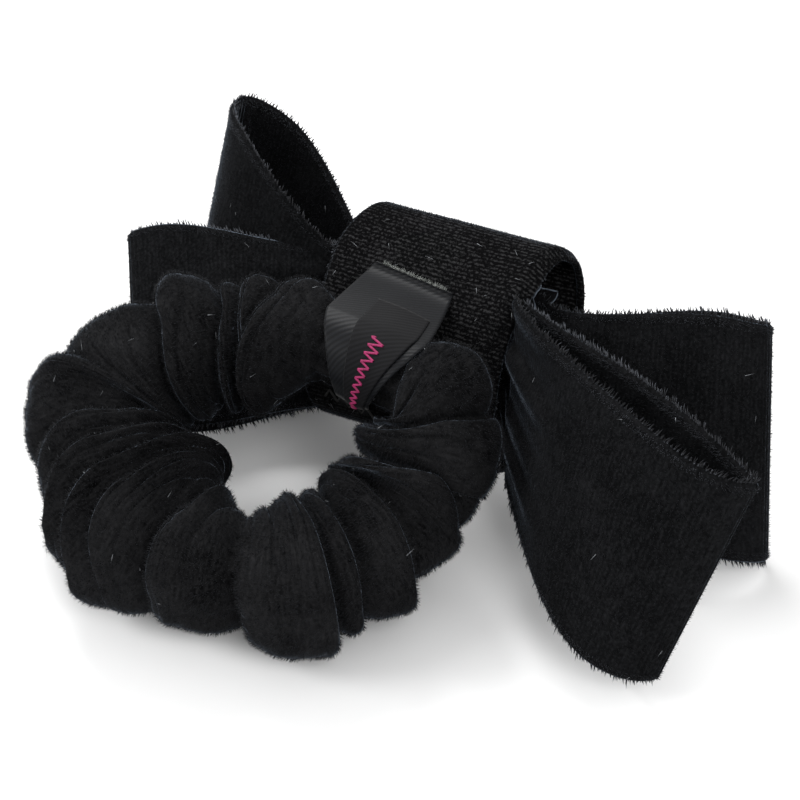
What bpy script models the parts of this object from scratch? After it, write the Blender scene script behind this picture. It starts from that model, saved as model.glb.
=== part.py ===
"""Velvet scrunchie: a gathered elastic ring with a double ribbon bow tied to its neck.

Blender 4.5. Lengths are in metres, +Z is up, and the object rests on the plane z = 0 with the
centre of its base at the origin.
"""
import math

import bmesh
import bpy
from mathutils import Matrix, Vector

MM = 0.001
GAP = 0.3 * MM

# Ring: the middle line of the gathered tube is an ellipse whose far side is raised on the bow.
RING_CENTRE = Vector((-29.0, -18.5, 19.8)) * MM
RING_HALF_WIDTH = 34.5 * MM
RING_HALF_DEPTH = 30.0 * MM
RING_SLOPE = 0.26
TUBE_RADIUS = 14.2 * MM
PUFF_COUNT = 11
PUFF_DEPTH = 0.9 * MM
NECK_ANGLE = math.radians(45.0)
NECK_HALF_RUN = math.radians(20.0)
NECK_BEND_SPREAD = math.radians(37.0)
NECK_SWELL_SPREAD = math.radians(52.0)
NECK_RADIUS = 7.5 * MM
NECK_PLACE_MM = Vector((-14.6, -3.8, 22.6))
NECK_TURN = math.radians(14.0)
NECK_DROP = 0.22
CHANNEL_RADIUS = 4.0 * MM
LEFT_CUT = math.radians(180.0)
RIGHT_CUT = math.radians(-16.0)
REST_LIFT = 9.0 * MM
REST_TURN = math.radians(25.0)
REST_HEIGHT = -1.2 * MM

# Elastic band in the channel, with its two ends lapped.
ELASTIC_WIDTH = 6.0 * MM
ELASTIC_THICKNESS = 1.3 * MM
ELASTIC_LAP = math.radians(18.0)
ELASTIC_LAP_START = math.radians(125.0)

# Bow: its own frame has ACROSS along the bow, UP along the ribbon's width and OUT towards the ring.
BOW_CENTRE = Vector((13.0, 7.3, 23.9)) * MM
ACROSS = Vector((0.966, -0.259, 0.0)).normalized()
UP = Vector((0.183, 0.683, 0.707)).normalized()
OUT = ACROSS.cross(UP)
RIBBON_WIDTH = 50.0 * MM
RIBBON_THICKNESS = 1.4 * MM
LAYER_OFFSET = 1.2 * MM

# Centre wrap round the middle of both bows.
WRAP_WIDTH = 48.0 * MM
WRAP_HALF_HEIGHT = 25.0 * MM
WRAP_HALF_DEPTH = 11.5 * MM
WRAP_WALL = 1.4 * MM
WRAP_SQUARENESS = 2.4
WRAP_SHIFT = Vector((-5.0, 6.5)) * MM
WRAP_ROLL = math.radians(-8.0)
WRAP_TURN = math.radians(-16.0)
WRAP_SKEW = 4.0 * MM

# Satin strap over the neck.
STRAP_WIDTH = 17.0 * MM
STRAP_THICKNESS = 0.7 * MM
STRAP_CLEARANCE = 2.2 * MM
STRAP_LIFT = 1.1 * MM
STRAP_ARC_START = math.radians(28.0)
STRAP_ARC_END = math.radians(166.0)
# Places on the wrap's near face, in millimetres along it and up it.
STRAP_TOP = (3.0, 17.0)
STRAP_TOP_BEND = (0.0, 10.5)
STRAP_FOOT_BEND = (-9.0, -20.0)
STRAP_FOOT = (-9.0, -23.0)

# Threads: the zigzags' half heights, and the windings' counts, spacing and clearances.
THREAD_RADIUS = 0.3 * MM
LAP_ZIGZAG = 1.7 * MM
LAP_STITCHES = 9
WRAP_ZIGZAG = 1.6 * MM
WRAP_STITCHES = 17
STRAP_ZIGZAG = 1.1 * MM
STRAP_STITCHES = 9
WINDING_STEPS = 20
NECK_WINDINGS = 3
NECK_WINDING_HALF_RUN = 1.5 * MM
BINDING_WINDINGS = 4
BINDING_PITCH = 0.9 * MM
BINDING_SQUARENESS = 2.6
BINDING_HEIGHT_CLEARANCE = 4.0 * MM
BINDING_DEPTH_CLEARANCE = 2.5 * MM

# Loops, in millimetres: "root" is the height and depth at the wrap's end, in the wrap's frame, and
# "fold" is the middle of the far fold, in the bow's frame. Both widths' directions are in the bow's frame.
ROOT_REACH = WRAP_WIDTH / 2.0 + 3.0 * MM
LOOPS = {
    "front_bow_left_loop": {
        "side": -1, "root": (-2.0, 2.8), "fold": (-81.0, -6.0, -12.5),
        "root_dir": (-0.05, 1.0, -0.05), "fold_dir": (-0.27, 0.89, -0.36),
        "root_width": 34.0, "bulge": (3.4, 3.6),
    },
    "front_bow_right_loop": {
        "side": 1, "root": (-3.0, 2.8), "fold": (58.0, -31.0, 29.0),
        "root_dir": (0.12, 0.99, 0.0), "fold_dir": (0.238, 0.969, 0.077),
        "root_width": 30.0, "bulge": (14.5, 6.0),
    },
    "back_bow_left_loop": {
        "side": -1, "root": (5.0, -5.2), "fold": (-62.5, 36.0, -33.0),
        "root_dir": (0.1, 0.93, 0.1), "fold_dir": (-0.12, 0.84, 0.50),
        "root_width": 29.0, "bulge": (6.0, 7.0),
    },
    "back_bow_right_loop": {
        "side": 1, "root": (-2.5, -2.8), "fold": (68.5, -3.5, -2.5),
        "root_dir": (0.0, 1.0, 0.0), "fold_dir": (-0.15, 0.99, 0.0),
        "root_width": 34.0, "bulge": (5.0, 4.6),
    },
}
MIDDLES = {"front_bow_middle": 2.8 * MM, "back_bow_middle": -2.8 * MM}
MIDDLE_THICKNESS = 2.4 * MM
MIDDLE_END_WIDTH = 31.0 * MM
MIDDLE_WAIST_WIDTH = 27.0 * MM


def clear_scene():
    for item in list(bpy.data.objects):
        bpy.data.objects.remove(item, do_unlink=True)


def make_material(name, colour, roughness, sheen=0.0):
    material = bpy.data.materials.new(name)
    material.use_nodes = True
    shader = material.node_tree.nodes["Principled BSDF"]
    shader.inputs["Base Color"].default_value = (*colour, 1.0)
    shader.inputs["Roughness"].default_value = roughness
    shader.inputs["Metallic"].default_value = 0.0
    shader.inputs["Sheen Weight"].default_value = sheen
    return material


def smooth_step(value):
    value = min(max(value, 0.0), 1.0)
    return value * value * (3.0 - 2.0 * value)


def bow_vector(across, up, out):
    return ACROSS * across + UP * up + OUT * out


def bow_point(point_mm):
    return BOW_CENTRE + bow_vector(*point_mm) * MM


# ---------------------------------------------------------------- ring middle line

def neck_turn(angle):
    """Angle from the neck, from minus half a turn to half a turn."""
    return (angle - NECK_ANGLE + math.pi) % (2.0 * math.pi) - math.pi


def neck_weight(angle, spread):
    """1 along the straight pinched neck, falling to 0 over the spread beyond it."""
    return 1.0 - smooth_step((abs(neck_turn(angle)) - NECK_HALF_RUN) / spread)


def lifted_ellipse(angle):
    """The tilted ellipse, raised off the bow along its far side."""
    flat = Vector((RING_HALF_WIDTH * math.cos(angle), RING_HALF_DEPTH * math.sin(angle), 0.0))
    flat.z = RING_SLOPE * flat.y
    far_side = smooth_step((math.sin(angle + REST_TURN) + 0.2) / 0.9)
    return RING_CENTRE + flat + OUT * (REST_LIFT * far_side)


def ring_point(angle):
    direction = ACROSS * -math.cos(NECK_TURN) + UP * math.sin(NECK_TURN) - OUT * NECK_DROP
    straight = bow_point(NECK_PLACE_MM) + direction.normalized() * (neck_turn(angle) * RING_HALF_WIDTH)
    return lifted_ellipse(angle).lerp(straight, neck_weight(angle, NECK_BEND_SPREAD))


def ring_tangent(angle):
    step = 0.002
    return (ring_point(angle + step) - ring_point(angle - step)).normalized()


def ring_section(angle):
    """Outward and upward unit vectors square to the middle line."""
    tangent = ring_tangent(angle)
    outward = Vector((math.cos(angle), math.sin(angle), 0.0))
    outward = (outward - tangent * outward.dot(tangent)).normalized()
    return outward, outward.cross(tangent)


def tube_radius(angle):
    weight = neck_weight(angle, NECK_SWELL_SPREAD)
    puff = PUFF_DEPTH * math.cos(PUFF_COUNT * (angle - NECK_ANGLE) + math.pi)
    return (TUBE_RADIUS + puff) * (1.0 - weight) + NECK_RADIUS * weight


# ---------------------------------------------------------------- mesh helpers

def finish_object(name, mesh_data, material, origin=None, smooth=True):
    """Turn a bmesh in world coordinates into a named object whose origin is on its joint."""
    bmesh.ops.recalc_face_normals(mesh_data, faces=mesh_data.faces)
    origin = origin or Vector((0.0, 0.0, 0.0))
    bmesh.ops.translate(mesh_data, vec=-origin, verts=mesh_data.verts)
    mesh = bpy.data.meshes.new(name)
    mesh_data.to_mesh(mesh)
    mesh_data.free()
    item = bpy.data.objects.new(name, mesh)
    item.location = origin
    bpy.context.scene.collection.objects.link(item)
    mesh.materials.append(material)
    if smooth:
        mesh.shade_smooth()
        mesh.set_sharp_from_angle(angle=math.radians(50.0))
    return item


def sheet_object(name, rows, thickness, material, origin=None, closed=False):
    """An open or ring-shaped sheet of points given a thickness."""
    mesh_data = bmesh.new()
    grid = [[mesh_data.verts.new(point) for point in row] for row in rows]
    count = len(grid) if closed else len(grid) - 1
    for index in range(count):
        here = grid[index]
        there = grid[(index + 1) % len(grid)]
        for column in range(len(here) - 1):
            mesh_data.faces.new((here[column], there[column], there[column + 1], here[column + 1]))
    item = finish_object(name, mesh_data, material, origin)
    solidify = item.modifiers.new("thickness", "SOLIDIFY")
    solidify.thickness = thickness
    solidify.offset = 0.0
    solidify.use_even_offset = True
    return item


def bridge_sections(mesh_data, sections, closed):
    """Join rings of points into a tube, with capped ends unless it closes on itself."""
    rings = [[mesh_data.verts.new(point) for point in section] for section in sections]
    count = len(rings) if closed else len(rings) - 1
    size = len(rings[0])
    for index in range(count):
        here = rings[index]
        there = rings[(index + 1) % len(rings)]
        for corner in range(size):
            after = (corner + 1) % size
            mesh_data.faces.new((here[corner], here[after], there[after], there[corner]))
    if not closed:
        mesh_data.faces.new(list(reversed(rings[0])))
        mesh_data.faces.new(rings[-1])
    return rings


def thread_tube(mesh_data, points, closed=False, sides=6, radius=THREAD_RADIUS):
    """Add a round thread along a list of points."""
    sections = []
    last = len(points) - 1
    for index, point in enumerate(points):
        before = points[index - 1] if index > 0 or closed else point
        after = points[(index + 1) % len(points)] if index < last or closed else point
        tangent = (after - before).normalized()
        side = tangent.orthogonal().normalized()
        if sections:
            side = (previous_side - tangent * previous_side.dot(tangent)).normalized()
        previous_side = side
        normal = tangent.cross(side)
        turns = [2.0 * math.pi * corner / sides for corner in range(sides)]
        sections.append([point + (side * math.cos(a) + normal * math.sin(a)) * radius for a in turns])
    bridge_sections(mesh_data, sections, closed)


# ---------------------------------------------------------------- ring pieces

def casing_half(name, start, end, material, origin):
    """Half of the gathered tube, hollow for the elastic and open at both cut ends."""
    stations = 34
    inner_sides = 8
    outer_sides = 2 * inner_sides
    outer = []
    inner = []
    for index in range(stations + 1):
        angle = start + (end - start) * index / stations
        centre = ring_point(angle)
        outward, upward = ring_section(angle)

        def circle(radius, sides):
            turns = [2.0 * math.pi * corner / sides for corner in range(sides)]
            return [centre + (outward * math.cos(a) + upward * math.sin(a)) * radius for a in turns]

        ring = circle(tube_radius(angle), outer_sides)
        for point in ring:
            point.z = max(point.z, REST_HEIGHT)
        outer.append(ring)
        inner.append(circle(CHANNEL_RADIUS, inner_sides))
    mesh_data = bmesh.new()
    outer_rings = open_tube(mesh_data, outer)
    inner_rings = open_tube(mesh_data, inner)
    for end_index in (0, -1):
        cap_ring(mesh_data, outer_rings[end_index], inner_rings[end_index])
    return finish_object(name, mesh_data, material, origin)


def open_tube(mesh_data, sections):
    rings = [[mesh_data.verts.new(point) for point in section] for section in sections]
    for here, there in zip(rings, rings[1:]):
        for corner in range(len(here)):
            after = (corner + 1) % len(here)
            mesh_data.faces.new((here[corner], here[after], there[after], there[corner]))
    return rings


def cap_ring(mesh_data, outer, inner):
    """Fill between an outer ring and an inner one with half as many corners."""
    count = len(inner)
    for index in range(count):
        first = outer[2 * index]
        middle = outer[2 * index + 1]
        last = outer[(2 * index + 2) % len(outer)]
        after = inner[(index + 1) % count]
        mesh_data.faces.new((first, middle, inner[index]))
        mesh_data.faces.new((middle, last, after, inner[index]))


def elastic_centre(angle):
    """The band drifts outward by its own thickness over one turn so that its ends lap."""
    turn = (angle - ELASTIC_LAP_START) / (2.0 * math.pi)
    outward, upward = ring_section(angle)
    drift = (ELASTIC_THICKNESS + GAP) * (turn - 0.5)
    return ring_point(angle) + outward * drift, outward, upward


def elastic_band(material):
    stations = 84
    span = 2.0 * math.pi + ELASTIC_LAP
    sections = []
    for index in range(stations + 1):
        centre, outward, upward = elastic_centre(ELASTIC_LAP_START + span * index / stations)
        across = outward * (ELASTIC_THICKNESS / 2.0)
        tall = upward * (ELASTIC_WIDTH / 2.0)
        sections.append([centre - across - tall, centre + across - tall,
                         centre + across + tall, centre - across + tall])
    mesh_data = bmesh.new()
    bridge_sections(mesh_data, sections, closed=False)
    return finish_object("elastic_band", mesh_data, material, smooth=False)


def elastic_stitches(material):
    """Zigzag thread on the outer face of the lap."""
    points = []
    for index in range(LAP_STITCHES):
        angle = ELASTIC_LAP_START + ELASTIC_LAP * (0.15 + 0.7 * index / (LAP_STITCHES - 1))
        centre, outward, upward = elastic_centre(angle + 2.0 * math.pi)
        height = LAP_ZIGZAG if index % 2 else -LAP_ZIGZAG
        points.append(centre + outward * (ELASTIC_THICKNESS / 2.0 + GAP + THREAD_RADIUS) + upward * height)
    mesh_data = bmesh.new()
    thread_tube(mesh_data, points)
    return finish_object("elastic_lap_thread", mesh_data, material)


def neck_thread(material):
    """Thread wound round the neck, where the casing's two ends are closed."""
    steps = NECK_WINDINGS * WINDING_STEPS
    points = []
    radius = NECK_RADIUS + GAP + THREAD_RADIUS
    tangent = ring_tangent(NECK_ANGLE)
    outward, upward = ring_section(NECK_ANGLE)
    centre = ring_point(NECK_ANGLE)
    for index in range(steps + 1):
        turn = index / steps
        angle = 2.0 * math.pi * NECK_WINDINGS * turn
        spoke = outward * math.cos(angle) + upward * math.sin(angle)
        points.append(centre + tangent * (NECK_WINDING_HALF_RUN * (2.0 * turn - 1.0)) + spoke * radius)
    mesh_data = bmesh.new()
    thread_tube(mesh_data, points)
    return finish_object("neck_closing_thread", mesh_data, material)


# ---------------------------------------------------------------- bow pieces

def loop_root(loop):
    """The middle of the loop's root in the bow's frame, in millimetres."""
    up, out = loop["root"]
    offset = wrap_point(ROOT_REACH * loop["side"], up * MM, out * MM) - BOW_CENTRE
    return Vector((offset.dot(ACROSS), offset.dot(UP), offset.dot(OUT))) / MM


def ribbon_loop(name, loop, material):
    """One loop: out from the wrap, round the fold and back, with a teardrop side view."""
    steps = 30
    columns = 4
    root = loop_root(loop)
    fold = Vector(loop["fold"])
    axis = (fold - root).normalized()
    length = (fold - root).length
    rows = []
    for index in range(steps + 1):
        angle = 2.0 * math.pi * index / steps
        reach = (1.0 - math.cos(angle)) / 2.0
        bulge = loop["bulge"][0] if index * 2 < steps else loop["bulge"][1]
        swell = math.sin(angle) * math.sin(angle / 2.0)
        height = bulge * swell * 1.3 + LAYER_OFFSET / MM * math.cos(angle / 2.0)
        width_dir = Vector(loop["root_dir"]).lerp(Vector(loop["fold_dir"]), reach).normalized()
        normal = axis.cross(width_dir)
        if normal.z < 0.0:
            normal = -normal
        normal.normalize()
        spread = smooth_step(reach / 0.85)
        width = loop["root_width"] * (1.0 - spread) + RIBBON_WIDTH / MM * spread
        centre = root + axis * (length * reach) + normal * height
        row = [centre + width_dir * (width * (column / columns - 0.5)) for column in range(columns + 1)]
        rows.append([bow_point(point) for point in row])
    return sheet_object(name, rows, RIBBON_THICKNESS, material, origin=bow_point(root))


def ribbon_middle(name, out, material):
    """The part of a bow inside the wrap: its layers pressed together, drawn in at the waist."""
    steps = 10
    columns = 4
    rows = []
    for index in range(steps + 1):
        share = index / steps
        waist = smooth_step(1.0 - abs(2.0 * share - 1.0))
        width = MIDDLE_END_WIDTH + (MIDDLE_WAIST_WIDTH - MIDDLE_END_WIDTH) * waist
        along = (WRAP_WIDTH - 2.0 * GAP) * (share - 0.5)
        row = [wrap_point(along, width * (column / columns - 0.5), out) for column in range(columns + 1)]
        rows.append(row)
    return sheet_object(name, rows, MIDDLE_THICKNESS, material)


def binding_thread(material):
    """Thread wound round the waist of both bows."""
    steps = BINDING_WINDINGS * WINDING_STEPS
    half_height = MIDDLE_WAIST_WIDTH / 2.0 + BINDING_HEIGHT_CLEARANCE
    half_depth = MIDDLES["front_bow_middle"] + MIDDLE_THICKNESS / 2.0 + BINDING_DEPTH_CLEARANCE
    points = []
    for index in range(steps + 1):
        turn = index / steps
        angle = 2.0 * math.pi * BINDING_WINDINGS * turn
        up = half_height * power_wave(math.cos(angle), BINDING_SQUARENESS)
        out = half_depth * power_wave(math.sin(angle), BINDING_SQUARENESS)
        along = BINDING_PITCH * BINDING_WINDINGS * (turn - 0.5) + WRAP_SKEW * out / WRAP_HALF_DEPTH
        points.append(wrap_point(along, up, out))
    mesh_data = bmesh.new()
    thread_tube(mesh_data, points)
    return finish_object("bow_binding_thread", mesh_data, material)


def power_wave(value, squareness):
    return math.copysign(abs(value) ** (2.0 / squareness), value)


def wrap_turn():
    """The wrap is rolled in the bow's frame, and its right end is turned to the ring's side."""
    return Matrix.Rotation(WRAP_ROLL, 3, OUT) @ Matrix.Rotation(WRAP_TURN, 3, UP)


def wrap_point(along, up, out):
    """A point in the wrap's frame, whose near face is skewed to the left."""
    centre = BOW_CENTRE + ACROSS * WRAP_SHIFT.x + UP * WRAP_SHIFT.y
    skewed = along - WRAP_SKEW * out / WRAP_HALF_DEPTH
    return centre + wrap_turn() @ (ACROSS * skewed + UP * up + OUT * out)


def wrap_face_height(up):
    share = min(abs(up) / WRAP_HALF_HEIGHT, 0.999)
    return WRAP_HALF_DEPTH * (1.0 - share ** WRAP_SQUARENESS) ** (1.0 / WRAP_SQUARENESS)


def centre_wrap(material):
    around = 40
    columns = 4
    rows = []
    for index in range(around):
        angle = 2.0 * math.pi * index / around
        up = (WRAP_HALF_HEIGHT - WRAP_WALL / 2.0) * power_wave(math.cos(angle), WRAP_SQUARENESS)
        out = (WRAP_HALF_DEPTH - WRAP_WALL / 2.0) * power_wave(math.sin(angle), WRAP_SQUARENESS)
        row = [wrap_point(WRAP_WIDTH * (column / columns - 0.5), up, out) for column in range(columns + 1)]
        rows.append(row)
    return sheet_object("centre_wrap", rows, WRAP_WALL, material, closed=True)


def wrap_stitches(material):
    """A zigzag thread that closes the wrap's lap on the face away from the ring."""
    out = -(WRAP_HALF_DEPTH + GAP + THREAD_RADIUS)
    points = []
    for index in range(WRAP_STITCHES):
        along = WRAP_WIDTH * 0.9 * (index / (WRAP_STITCHES - 1) - 0.5)
        up = WRAP_ZIGZAG if index % 2 else -WRAP_ZIGZAG
        points.append(wrap_point(along, up, out))
    mesh_data = bmesh.new()
    thread_tube(mesh_data, points)
    return finish_object("wrap_closing_thread", mesh_data, material)


# ---------------------------------------------------------------- strap

def strap_frame():
    """Neck centre, the axis along the neck, and the two directions square to it."""
    centre = ring_point(NECK_ANGLE)
    axis = ring_tangent(NECK_ANGLE)
    away = (OUT - axis * OUT.dot(axis)).normalized()
    rise = away.cross(axis)
    if rise.dot(UP) < 0.0:
        rise = -rise
    return centre, axis, away, rise


def strap_rows():
    """From the cut end on the wrap, over the neck, and back to the wrap below it."""
    centre, axis, away, rise = strap_frame()
    radius = NECK_RADIUS + STRAP_CLEARANCE + STRAP_THICKNESS / 2.0
    face = wrap_turn() @ OUT
    flat_axis = (axis - face * axis.dot(face)).normalized()
    stations = []

    def on_wrap(along, up):
        out = wrap_face_height(up * MM) + STRAP_LIFT + STRAP_THICKNESS / 2.0
        return wrap_point(along * MM, up * MM, out), flat_axis

    stations.append(on_wrap(*STRAP_TOP))
    stations.append(on_wrap(*STRAP_TOP_BEND))
    arc_steps = 12
    for index in range(arc_steps + 1):
        angle = STRAP_ARC_START + (STRAP_ARC_END - STRAP_ARC_START) * index / arc_steps
        spoke = rise * math.cos(angle) + away * math.sin(angle)
        stations.append((centre + spoke * radius, axis))
    stations.append(on_wrap(*STRAP_FOOT_BEND))
    stations.append(on_wrap(*STRAP_FOOT))
    columns = 2
    rows = []
    for point, side in stations:
        offsets = [STRAP_WIDTH * (column / columns - 0.5) for column in range(columns + 1)]
        rows.append([point + side * offset for offset in offsets])
    return rows


def satin_strap(material, origin):
    return sheet_object("satin_strap", strap_rows(), STRAP_THICKNESS, material, origin)


def strap_stitches(material):
    """A zigzag thread that tacks down the strap's hidden foot."""
    rows = strap_rows()
    left = rows[-1][0].lerp(rows[-2][0], 0.5)
    right = rows[-1][-1].lerp(rows[-2][-1], 0.5)
    along = (rows[-2][1] - rows[-1][1]).normalized()
    lift = wrap_turn() @ OUT * (STRAP_THICKNESS / 2.0 + GAP + THREAD_RADIUS)
    points = []
    for index in range(STRAP_STITCHES):
        offset = along * (STRAP_ZIGZAG if index % 2 else -STRAP_ZIGZAG)
        points.append(left.lerp(right, 0.1 + 0.8 * index / (STRAP_STITCHES - 1)) + lift + offset)
    mesh_data = bmesh.new()
    thread_tube(mesh_data, points)
    return finish_object("strap_tack_thread", mesh_data, material)


# ---------------------------------------------------------------- whole object

def centre_on_base(items):
    """Move everything so that the middle of the base of its box is the origin."""
    bpy.context.view_layer.update()
    graph = bpy.context.evaluated_depsgraph_get()
    corners = []
    for item in items:
        shape = item.evaluated_get(graph)
        corners.extend(shape.matrix_world @ vertex.co for vertex in shape.data.vertices)
    low = Vector([min(corner[axis] for corner in corners) for axis in range(3)])
    high = Vector([max(corner[axis] for corner in corners) for axis in range(3)])
    shift = Vector(((low.x + high.x) / 2.0, (low.y + high.y) / 2.0, low.z))
    for item in items:
        item.location -= shift
    return shift


def build():
    clear_scene()
    velvet = make_material("black_velvet", (0.012, 0.012, 0.013), 0.9, sheen=0.4)
    ribbon = make_material("black_velvet_ribbon", (0.010, 0.010, 0.012), 0.9, sheen=0.4)
    satin = make_material("black_satin", (0.014, 0.015, 0.018), 0.45)
    rubber = make_material("white_elastic", (0.75, 0.75, 0.72), 0.8)
    thread = make_material("black_thread", (0.02, 0.02, 0.02), 0.7)
    cut = GAP * 0.7 / RING_HALF_DEPTH
    full_turn = 2.0 * math.pi
    neck = ring_point(NECK_ANGLE)
    front = ring_point(LEFT_CUT)
    items = [
        casing_half("velvet_casing_rear", RIGHT_CUT + cut, LEFT_CUT - cut, velvet, neck),
        casing_half("velvet_casing_front", LEFT_CUT + cut, RIGHT_CUT + full_turn - cut, velvet, front),
        elastic_band(rubber),
        elastic_stitches(thread),
        neck_thread(thread),
        centre_wrap(ribbon),
        wrap_stitches(thread),
        binding_thread(thread),
        satin_strap(satin, neck),
        strap_stitches(thread),
    ]
    items += [ribbon_middle(name, out, ribbon) for name, out in MIDDLES.items()]
    items += [ribbon_loop(name, loop, ribbon) for name, loop in LOOPS.items()]
    centre_on_base(items)


build()
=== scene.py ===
"""Looks of the velvet scrunchie: a gathered velvet ring, a double ribbon bow, its wrap and its satin strap.

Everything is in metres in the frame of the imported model. Angles round the ring start at +X.
"""
import math

import bpy
import numpy as np
from mathutils import Matrix, Vector


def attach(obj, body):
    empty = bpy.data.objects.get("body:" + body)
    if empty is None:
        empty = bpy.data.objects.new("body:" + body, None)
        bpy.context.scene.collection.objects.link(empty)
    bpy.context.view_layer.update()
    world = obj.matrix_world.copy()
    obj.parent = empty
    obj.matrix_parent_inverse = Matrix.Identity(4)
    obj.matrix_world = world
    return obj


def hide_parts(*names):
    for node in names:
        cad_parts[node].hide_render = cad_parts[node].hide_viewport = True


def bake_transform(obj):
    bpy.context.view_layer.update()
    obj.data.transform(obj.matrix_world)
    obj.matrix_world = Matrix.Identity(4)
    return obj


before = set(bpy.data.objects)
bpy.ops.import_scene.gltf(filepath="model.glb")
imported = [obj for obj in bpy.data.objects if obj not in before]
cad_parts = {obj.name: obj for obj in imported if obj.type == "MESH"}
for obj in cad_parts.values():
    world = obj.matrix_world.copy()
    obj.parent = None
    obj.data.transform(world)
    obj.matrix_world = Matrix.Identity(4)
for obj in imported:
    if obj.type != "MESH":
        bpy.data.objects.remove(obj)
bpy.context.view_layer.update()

MM = 0.001
SEED = 11
FIBRE_RADIUS = 0.06 * MM
TUFT_RADIUS = 0.2 * MM
LINT_LIFT = 0.35 * MM
# Pile: fibres for each square metre, their length and how far they lean along the rows.
CASING_PILE = (3.4e6, 1.0 * MM, 0.5)
RIBBON_PILE = (2.4e6, 0.75 * MM, 0.4)
RIBBON_EDGE_NAP = (7.0e6, 0.8 * MM, 0.5)
WRAP_PILE = (3.2e6, 0.55 * MM, 0.5)
# The pile's roots stand this share of a cloth's thickness from its middle.
PILE_ROOT = 0.45
# Fringes: the step from tuft to tuft, and the tufts' length.
RIBBON_FRINGE = (0.85 * MM, 2.0 * MM)
WRAP_FRINGE = (0.7 * MM, 1.3 * MM)
# How many stray fibres lie on the casing, on each side of a ribbon and on the wrap.
CASING_LINT = 110
RIBBON_LINT = 14
WRAP_LINT = 90
# How far every fibre stays above the table.
FIBRE_CLEARANCE = 0.05 * MM


def unit(vectors):
    vectors = np.asarray(vectors, float)
    return vectors / np.maximum(np.linalg.norm(vectors, axis=-1, keepdims=True), 1e-12)


def smooth(value):
    value = np.clip(value, 0.0, 1.0)
    return value * value * (3.0 - 2.0 * value)


def run_along(path):
    """Distance along a path to each of its points."""
    return np.concatenate([[0.0], np.cumsum(np.linalg.norm(np.diff(path, axis=0), axis=1))])


# ---------------------------------------------------------------- the CAD's layout

FRAME_SHIFT = np.array([1.464, 6.954, -1.2]) * MM
RING_CENTRE = np.array([-29.0, -18.5, 19.8]) * MM - FRAME_SHIFT
RING_HALF_WIDTH = 34.5 * MM
RING_HALF_DEPTH = 30.0 * MM
RING_SLOPE = 0.26
REST_LIFT = 9.0 * MM
REST_TURN = math.radians(25.0)
NECK_ANGLE = math.radians(45.0)
NECK_HALF_RUN = math.radians(20.0)
NECK_BEND_SPREAD = math.radians(37.0)
NECK_SWELL_SPREAD = math.radians(52.0)
NECK_RADIUS = 7.5 * MM
NECK_PLACE = np.array([-14.6, -3.8, 22.6]) * MM
NECK_TURN = math.radians(14.0)
NECK_DROP = 0.22
ELASTIC_WIDTH = 6.0 * MM
ELASTIC_THICKNESS = 1.3 * MM

BOW_CENTRE = np.array([13.0, 7.3, 23.9]) * MM - FRAME_SHIFT
ACROSS = unit([0.966, -0.259, 0.0])
UP = unit([0.183, 0.683, 0.707])
OUT = np.cross(ACROSS, UP)
BOW_AXES = np.array([ACROSS, UP, OUT])
RIBBON_WIDTH = 50.0 * MM
LAYER_OFFSET = 1.2 * MM
MIDDLE_DEPTH = 2.8 * MM
WAIST_WIDTH = 27.0 * MM

WRAP_WIDTH = 48.0 * MM
WRAP_HALF_HEIGHT = 25.0 * MM
WRAP_HALF_DEPTH = 11.5 * MM
WRAP_SQUARENESS = 2.4
WRAP_SHIFT = (-5.0 * MM, 6.5 * MM)
WRAP_ROLL = math.radians(-8.0)
WRAP_TURN = math.radians(-16.0)
WRAP_SKEW = 4.0 * MM

STRAP_WIDTH = 17.0 * MM
STRAP_REACH = NECK_RADIUS + 2.2 * MM
STRAP_LIFT = 1.1 * MM
ROOT_REACH = WRAP_WIDTH / 2.0 + 3.0 * MM
LOOPS = {
    "front_left": {
        "side": -1, "root": (-6.6, 2.0), "fold": (-78.4, -4.3, -5.2),
        "root_dir": (-0.20, 1.0, 0.05), "fold_dir": (-0.34, 0.86, -0.35),
        "root_width": 36.0, "bulge": (2.6, 2.0), "depth": 1, "seed": 3,
    },
    "front_right": {
        "side": 1, "root": (-8.0, 7.2), "fold": (60.5, -35.0, 41.0),
        "root_dir": (-0.10, 0.96, 0.10), "fold_dir": (0.25, 0.90, 0.58),
        "root_width": 38.0, "bulge": (11.9, 0.4), "depth": 1, "seed": 5,
    },
    "back_left": {
        "side": -1, "root": (-7.0, -6.1), "fold": (-68.4, 32.7, -25.7),
        "root_dir": (0.37, 0.77, 0.47), "fold_dir": (0.13, 0.83, 0.41),
        "root_width": 31.0, "bulge": (11.2, 6.6), "depth": -1, "seed": 7,
    },
    "back_right": {
        "side": 1, "root": (-6.0, -2.8), "fold": (69.0, -5.1, 2.4),
        "root_dir": (-0.04, 1.0, 0.03), "fold_dir": (-0.164, 0.977, 0.22),
        "root_width": 36.0, "bulge": (7.6, 4.0), "depth": -1, "seed": 9,
    },
}

# ---------------------------------------------------------------- ring line

def neck_turn(angle):
    return (angle - NECK_ANGLE + math.pi) % (2.0 * math.pi) - math.pi


def neck_weight(angle, spread):
    return 1.0 - smooth((abs(neck_turn(angle)) - NECK_HALF_RUN) / spread)


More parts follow.
